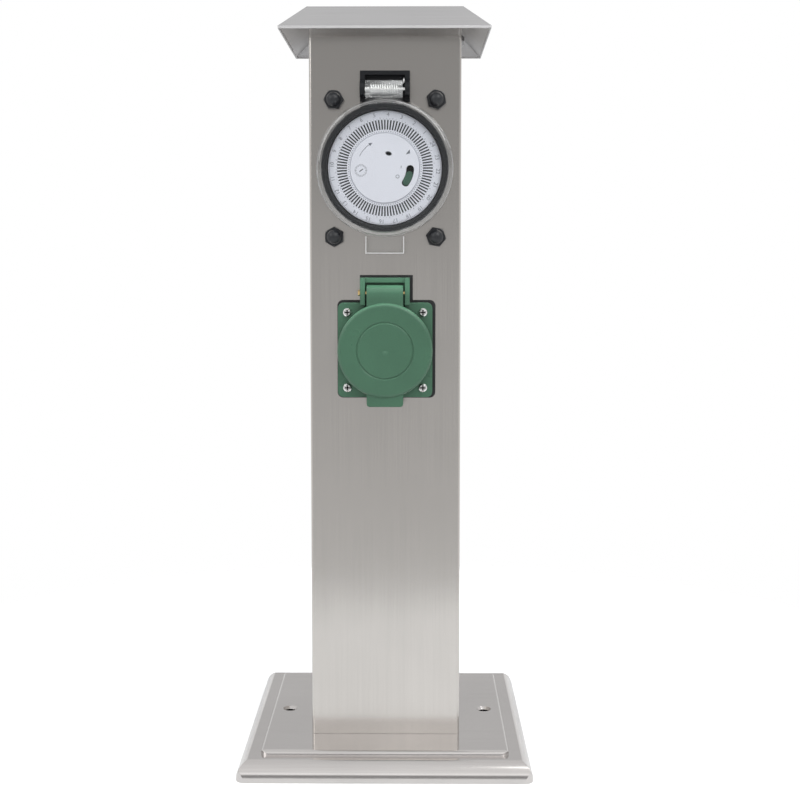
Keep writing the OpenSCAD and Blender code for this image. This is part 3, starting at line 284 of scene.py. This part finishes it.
def clear(name):
    """Clear moulding: a thin pane over the dial, a brighter rim, and glass on the hinge barrel with
    painted highlight streaks.
    """
    net = Net(name)
    place = net.split(net.coord)
    x, z = place["X"], place["Z"]
    up = net.math("SUBTRACT", z, TIMER_Z)
    square = net.math("ADD", net.math("MULTIPLY", x, x), net.math("MULTIPLY", up, up))
    radius = net.math("SQRT", square, 0.0)
    barrel = net.range(z, BARREL_Z - 0.0002, BARREL_Z, 0.0, 1.0)
    haze = net.noise(net.coord, 220.0, 3.0)
    # painted highlight: pale streaks along the hinge barrel, where the glass is made less clear and
    # rougher
    streak = net.noise(net.scaled(45, 520, 520), 1.0, 3.0, 0.6)
    painted_streaks = net.math("MULTIPLY", barrel, net.range(streak, 0.42, 0.60, 0.03, 0.40))
    net.feed(Base_Color=net.ramp(haze, (0.3, (0.95, 0.96, 0.955)), (0.7, (0.995, 1.0, 0.995))),
             Transmission_Weight=net.math("SUBTRACT", 1.0, painted_streaks),
             Roughness=net.range(painted_streaks, 0.0, 1.0, 0.006, 0.25),
             Normal=net.edge(0.0005))
    net.set(IOR=1.42)
    through = net.add("ShaderNodeBsdfTransparent")
    through.inputs["Color"].default_value = (0.992, 0.994, 0.994, 1.0)
    shine = net.add("ShaderNodeBsdfGlossy")
    shine.inputs["Roughness"].default_value = 0.02
    facing = net.add("ShaderNodeLayerWeight").outputs["Facing"]
    rim = net.range(radius, FLAP_R - 0.0030, FLAP_R - 0.0024, 0.03, 0.17)
    rim = net.math("MULTIPLY", rim, net.range(radius, FLAP_R + 0.0001, FLAP_R + 0.0003, 1.0, 0.2))
    gloss = net.math("ADD", net.math("MULTIPLY", net.math("POWER", facing, 5.0), 0.9), rim)
    pane = net.blend(gloss, through.outputs[0], shine.outputs[0])
    mirrored = net.math("MULTIPLY", net.ray("Is Glossy Ray"), net.range(barrel, 0.0, 1.0, 1.0, 0.0))
    unseen = net.math("MAXIMUM", net.ray("Is Shadow Ray", "Is Diffuse Ray"), mirrored)
    share = net.math("MULTIPLY", net.range(barrel, 0.0, 1.0, 1.0, 0.3), net.math("SUBTRACT", 1.0, unseen))
    net.show(net.blend(unseen, net.blend(share, net.bsdf, pane), through.outputs[0]))
    return net.mat


# Materials

steel_z = brushed("steel_post", (0.637, 0.61, 0.580), "Z", 0.22, 0.12)
steel_x = brushed("steel_base", (0.672, 0.646, 0.632), "X", 0.14, 0.15)
# the roof gets painted shade on faces that look down and painted light on its upright faces
steel_roof = brushed("steel_roof", (0.593, 0.588, 0.592), "X", 0.17, 0.15, shaded_underside=0.74, upright_light=0.30)
zinc = metal("zinc_sheet", (0.58, 0.59, 0.60), 0.38)
bright = metal("bright_screws", (0.80, 0.80, 0.79), 0.18)
dark_screw = metal("dark_screws", (0.30, 0.30, 0.30), 0.24)
# painted shade: a near-black metal for the shade in the flange screws' cross recesses
recess_shade = metal("painted_recess_shade", (0.05, 0.05, 0.05), 0.5)
spring = metal("spring_wire", (0.92, 0.92, 0.91), 0.30)
can = metal("motor_can", (0.64, 0.64, 0.65), 0.30)
brass = metal("brass_parts", (0.74, 0.53, 0.24), 0.28)
black = plastic("black_moulding", (0.014, 0.015, 0.017), 0.40, gloss=0.2)
cap_black = plastic("black_caps", (0.022, 0.023, 0.026), 0.32, gloss=0.4)
dial_black = plastic("tappet_black", (0.020, 0.022, 0.024), 0.40)
rubber = plastic("black_rubber", (0.022, 0.022, 0.023), 0.75)
white = plastic("dial_white", (0.69, 0.70, 0.755), 0.42, contrast=0.02)
ivory = plastic("ivory_moulding", (0.74, 0.70, 0.60), 0.45)
# the green gets painted light from above on faces that look up and on the hood of the socket's hinge
green = plastic("green_moulding", (0.058, 0.148, 0.089), 0.30, contrast=0.12, edge=0.0008, clouds=26.0,
                top_light=1.9)
dark_green = plastic("dark_green_moulding", (0.045, 0.13, 0.085), 0.5)
slider = plastic("slider_green", (0.034, 0.090, 0.060), 0.4)
red = plastic("plunger_red", (0.52, 0.05, 0.04), 0.35)
brown = plastic("lead_brown", (0.19, 0.085, 0.04), 0.4)
blue = plastic("lead_blue", (0.04, 0.16, 0.48), 0.4)
earth = plastic("lead_earth", (0.40, 0.52, 0.06), 0.4)
glass = clear("clear_flap")
# painted highlight: a pale grey for the light that the clear cover's cut edges catch
edge_light = plastic("painted_edge_highlight", (0.62, 0.61, 0.60), 0.3, gloss=0.8)
ink = plastic("print_grey", (0.13, 0.14, 0.16), 0.6, contrast=0.15)
ink_soft = plastic("print_soft", (0.22, 0.23, 0.26), 0.6, contrast=0.12)

GROUPS = (
    (steel_z, "post_tube"),
    (steel_x, "base_cover"),
    (steel_roof, "roof_cap"),
    (zinc, "foot_bracket roof_collar base_screws base_nuts clamp_screws block_screws earth_stud "
           "earth_nut timer_studs flange_nuts motor_screws"),
    (bright, "flange_screws flap_pin"),
    (dark_screw, "roof_screws"),
    (spring, "flap_spring lid_spring"),
    (can, "timer_motor"),
    (black, "timer_bezel timer_housing movement_plate microswitch"),
    (cap_black, "cap_nuts"),
    (dial_black, "dial_carrier tappets single_tappet"),
    (rubber, "cable_grommet timer_gasket socket_gasket"),
    (white, "time_dial dial_face"),
    (ivory, "cable_clamp terminal_block reduction_gear"),
    (glass, "clear_flap"),
    (green, "socket_frame socket_lid"),
    (dark_green, "socket_insert socket_back"),
    (slider, "override_lever"),
    (red, "switch_plunger"),
    (brass, "lid_pin block_inserts contact_sleeves earth_strap timer_tabs motor_pinion"),
    (brown, "live_leads"),
    (blue, "neutral_leads"),
    (earth, "earth_leads"),
)
for material, names in GROUPS:
    for name in names.split():
        mesh = nodes[name].data
        mesh.materials.clear()
        mesh.materials.append(material)


# Shapes of the marks, as lists of points in the dial's own frame

def polar(r, degrees):
    a = math.radians(degrees)
    return (r * math.cos(a), r * math.sin(a))


def moved(points, x, y):
    return [(px + x, py + y) for px, py in points]


def bar(r0, r1, width, degrees):
    """A straight bar from r0 to r1, turned about the middle."""
    a = math.radians(degrees)
    c, s = math.cos(a), math.sin(a)
    return [(r * c - w * s, r * s + w * c)
            for r, w in ((r0, -width / 2), (r1, -width / 2), (r1, width / 2), (r0, width / 2))]


def box_outline(x0, x1, y0, y1):
    return [(x0, y0), (x1, y0), (x1, y1), (x0, y1)]


def arc_band(r, width, a0, a1, steps=16, cx=0.0, cy=0.0):
    """A thin curved band as quads."""
    near, far = r - width / 2, r + width / 2
    quads = []
    for i in range(steps):
        a, b = a0 + (a1 - a0) * i / steps, a0 + (a1 - a0) * (i + 1) / steps
        quads.append(moved([polar(near, a), polar(far, a), polar(far, b), polar(near, b)], cx, cy))
    return quads


def oval_band(middle, reach, width, turn, steps=24):
    """A thin band round an oval, as quads."""
    c, s = math.cos(math.radians(turn)), math.sin(math.radians(turn))

    def at(i, grow):
        a = 2 * math.pi * i / steps
        x, y = (reach[0] + grow) * math.cos(a), (reach[1] + grow) * math.sin(a)
        return (middle[0] + x * c - y * s, middle[1] + x * s + y * c)

    return [[at(i, 0), at(i, width), at(i + 1, width), at(i + 1, 0)] for i in range(steps)]


# Pieces made here

def at_timer(x, y, z):
    """A point in the dial's own frame, z out of the post, as a place in the row frame."""
    return Vector((x, FRONT - z, TIMER_Z + y))


def place_piece(name, mesh, material, body):
    """A piece of one material that moves with a body."""
    mesh.materials.clear()
    mesh.materials.append(material)
    piece = bpy.data.objects.new(name, mesh)
    bpy.context.scene.collection.objects.link(piece)
    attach(piece, body)


def mark_mesh(name, material, body, shapes, z, thick=0.00004):
    """Thin raised marks, one for each shape."""
    bm = bmesh.new()
    for points in shapes:
        low = [bm.verts.new(at_timer(x, y, z)) for x, y in points]
        high = [bm.verts.new(at_timer(x, y, z + thick)) for x, y in points]
        bm.faces.new(high)
        bm.faces.new(low[::-1])
        n = len(points)
        for i in range(n):
            bm.faces.new((low[i], low[(i + 1) % n], high[(i + 1) % n], high[i]))
    mesh = bpy.data.meshes.new(name)
    bm.normal_update()
    bmesh.ops.recalc_face_normals(bm, faces=bm.faces)
    bm.to_mesh(mesh)
    bm.free()
    place_piece(name, mesh, material, body)


def dial_ticks():
    """A tick outside and a dot inside each slot, and a fine ring near the dial's edge."""
    shapes = []
    for i in range(TAPPETS):
        angle = 90 + (i + 0.5) * 360.0 / TAPPETS
        reach = 0.0011 if i % 4 == 1 else 0.0006
        shapes.append(bar(SLOT_OUT + 0.00025, SLOT_OUT + reach, 0.00022, angle))
        shapes.append(bar(SLOT_IN - 0.00105, SLOT_IN - 0.00055, 0.00036, angle))
    shapes += arc_band(0.0290, 0.00012, 0, 360, 96)
    mark_mesh("dial_ticks", ink_soft, "dial", shapes, DIAL_Z)


def face_marks():
    """Turning arrow, pointer, I, O, the oval's rim and a clock on the fixed face."""
    shapes = arc_band(0.0145, 0.00022, 155, 123, 14)
    shapes.append([polar(0.0145, 116.5), polar(0.0137, 124), polar(0.0153, 124)])
    shapes.append([(0.0109, 0.0070), (0.0129, 0.0096), (0.0131, 0.0076)])
    shapes.append(moved(bar(0.0, 0.0015, 0.0003, 90), 0.00845, -0.0002))
    shapes += arc_band(0.00085, 0.00025, 0, 360, 16, 0.0066, -0.0044)
    shapes += oval_band(polar(0.00775, 75.5), (0.00136, 0.00076), 0.00036, -16)
    clock = [bar(0.0026 if k % 2 else 0.0022, 0.0033, 0.00022, k * 15) for k in range(24)]
    clock += [bar(0.0, r, 0.0005, a) for r, a in ((0.0014, 35), (0.0010, 215))]
    shapes += [moved(points, -0.0125, -0.0013) for points in clock]
    mark_mesh("face_marks", ink, "post", shapes, FACE_Z)


def screw_crosses():
    """A dark cross in the head of each flange screw, painted shade that stands for the shade in its
    recess.
    """
    cross = [bar(-0.0014, 0.0014, 0.0007, turn) for turn in (0, 90)]
    for side in (-1, 1):
        for high in (-1, 1):
            x, y = side * SCREW_AT, high * SCREW_AT + SOCKET_Z - TIMER_Z
            name = "recess_" + "lr"[side > 0] + "bt"[high > 0]
            shapes = [moved(points, x, y) for points in cross]
            mark_mesh(name, recess_shade, "post", shapes, SCREW_TOP, 0.00042)


def cover_edges():
    """The light that the clear cover's cut edges catch: round the rim and along the tab."""
    rim = arc_band(FLAP_R - 0.00018, 0.00030, 0, 360, 96)
    mark_mesh("flap_edge", edge_light, "flap", rim, 0.0030, 0.0002)
    half, line, root = TAB_W / 2, 0.0006, -FLAP_R + 0.0002
    tab = [box_outline(-half, half, -TAB_LOW, -TAB_LOW + line),
           box_outline(-half, -half + line, -TAB_LOW + line, root),
           box_outline(half - line, half, -TAB_LOW + line, root)]
    mark_mesh("tab_edges", edge_light, "flap", tab, TAB_Z + 0.0028)


def face_lip():
    """The rounded lip at the edge of the fixed face."""
    lip = arc_band(FACE_R, 0.0003, 0, 360, 96)
    mark_mesh("face_lip", white, "post", lip, 0.0058, 0.0010)


def dial_numbers():
    """Numbers 1 to 24, read from the middle outwards, joined into one mesh."""
    made = []
    for n in range(1, 25):
        curve = bpy.data.curves.new(f"number_{n}", "FONT")
        curve.body = str(n)
        curve.size = 0.0029
        curve.extrude = 0.00002
        curve.resolution_u = 3
        curve.align_x = "CENTER"
        curve.align_y = "CENTER"
        angle = (n - 22) * 15 - 3.5
        x, y = polar(0.0276, angle)
        turn = Matrix.Rotation(math.radians(angle - 90), 4, "Z")
        upright = Matrix.Rotation(math.radians(90), 4, "X")
        text = bpy.data.objects.new(f"number_{n}", curve)
        bpy.context.scene.collection.objects.link(text)
        text.matrix_world = Matrix.Translation(at_timer(x, y, DIAL_Z + 0.00002)) @ upright @ turn
        made.append(text)
    bpy.context.view_layer.update()
    graph = bpy.context.evaluated_depsgraph_get()
    bm = bmesh.new()
    for text in made:
        mesh = bpy.data.meshes.new_from_object(text.evaluated_get(graph))
        mesh.transform(text.matrix_world)
        bm.from_mesh(mesh)
        bpy.data.meshes.remove(mesh)
    mesh = bpy.data.meshes.new("dial_numbers")
    bm.to_mesh(mesh)
    bm.free()
    for text in made:
        curve = text.data
        bpy.data.objects.remove(text)
        bpy.data.curves.remove(curve)
    place_piece("dial_numbers", mesh, ink_soft, "dial")


dial_ticks()
face_marks()
screw_crosses()
cover_edges()
face_lip()
dial_numbers()


# Floor, light, camera

# The room as metal mirrors it, as (height in the picture, tone): towards the camera and away from it
ROOM = ((0.220, 0.84), (0.244, 0.58), (0.40, 0.53), (0.50, 0.49), (0.60, 0.31), (0.73, 0.25),
        (0.84, 1.2), (0.90, 1.35), (0.97, 0.9))
BACKDROP = ((0.0, 0.80), (0.52, 0.88), (0.66, 0.60), (0.87, 0.56), (1.0, 0.76))
WORLD_LIGHT = 0.70
PAPER_R = (0.385, 0.41)
PAPER_GLOW = 0.32


def floor():
    """White paper that fades into the white world, so that no horizon shows."""
    bm = bmesh.new()
    bmesh.ops.create_circle(bm, cap_ends=True, segments=96, radius=PAPER_R[1])
    mesh = bpy.data.meshes.new("floor")
    bm.to_mesh(mesh)
    bm.free()
    net = Net("floor_paper")
    paper = net.noise(net.coord, 40.0, 3.0)
    net.feed(Base_Color=net.ramp(paper, (0.3, (0.78, 0.78, 0.78)), (0.7, (0.80, 0.80, 0.80))),
             Emission_Strength=net.math("MULTIPLY", net.ray("Is Camera Ray"), PAPER_GLOW))
    net.set(Roughness=0.9, Specular_IOR_Level=0.1, Emission_Color=(1, 1, 1, 1))
    far = net.add("ShaderNodeVectorMath", operation="LENGTH")
    net.link(net.coord, far.inputs[0])
    fade = net.range(far.outputs["Value"], *PAPER_R, 0.0, 1.0)
    net.show(net.blend(fade, net.bsdf, net.add("ShaderNodeBsdfTransparent").outputs[0]))
    mesh.materials.append(net.mat)
    piece = bpy.data.objects.new("floor", mesh)
    bpy.context.scene.collection.objects.link(piece)


def world():
    """White for the camera and through glass, and a room that darkens towards the camera in metal."""
    studio = bpy.data.worlds.new("studio")
    bpy.context.scene.world = studio
    studio.use_nodes = True
    net = Nodes(studio.node_tree)
    way = net.split(net.add("ShaderNodeTexCoord").outputs["Generated"])
    height = net.range(way["Z"], -0.5, 0.5, 0.0, 1.0)
    towards = net.range(way["Y"], -0.8, -0.2, 1.0, 0.0)

    def background(colour, strength=1.0):
        node = net.add("ShaderNodeBackground")
        node.inputs["Strength"].default_value = strength
        if isinstance(colour, tuple):
            node.inputs["Color"].default_value = (*colour, 1.0)
        else:
            net.link(colour, node.inputs["Color"])
        return node.outputs[0]

    def room(stops):
        return background(net.ramp(height, *((place, (tone, tone, tone)) for place, tone in stops)))

    lit = background((0.96, 0.98, 1.0), WORLD_LIGHT)
    mirrored = net.blend(towards, room(BACKDROP), room(ROOM))
    both = net.blend(net.ray("Is Glossy Ray"), lit, mirrored)
    clear_ray = net.ray("Is Camera Ray", "Is Transmission Ray")
    out = net.add("ShaderNodeOutputWorld")
    net.link(net.blend(clear_ray, both, background((1, 1, 1))), out.inputs["Surface"])


def area(name, place, size, power, mirrored=True):
    """A lamp that looks at the middle of the post."""
    light = bpy.data.lights.new(name, "AREA")
    light.shape = "RECTANGLE"
    light.size, light.size_y = size
    light.energy = power
    piece = bpy.data.objects.new(name, light)
    piece.location = place
    piece.rotation_euler = (Vector((0, 0, 0.2)) - Vector(place)).to_track_quat("-Z", "Y").to_euler()
    piece.visible_glossy = mirrored
    bpy.context.scene.collection.objects.link(piece)


floor()
world()
area("key", (0.9, -1.2, 1.5), (1.2, 1.2), 9)
area("fill", (-1.3, -0.9, 1.0), (1.0, 1.0), 4)
area("top", (0.0, -0.45, 1.7), (1.4, 1.0), 13, mirrored=False)
area("back", (0.4, 1.4, 0.8), (1.2, 0.8), 3, mirrored=False)

camera = bpy.data.cameras.new("camera")
camera.lens = 59.82
camera.sensor_width = 36.0
camera.shift_y = -0.05
camera.clip_start = 0.01
viewer = bpy.data.objects.new("camera", camera)
bpy.context.scene.collection.objects.link(viewer)
TILT, YAW = math.radians(4.72), math.radians(-0.51)
viewer.location = (0.0141, -0.7457, 0.2755)
viewer.rotation_euler = (math.pi / 2 - TILT, 0, -YAW)
bpy.context.scene.camera = viewer
bpy.context.scene.view_settings.view_transform = "Standard"
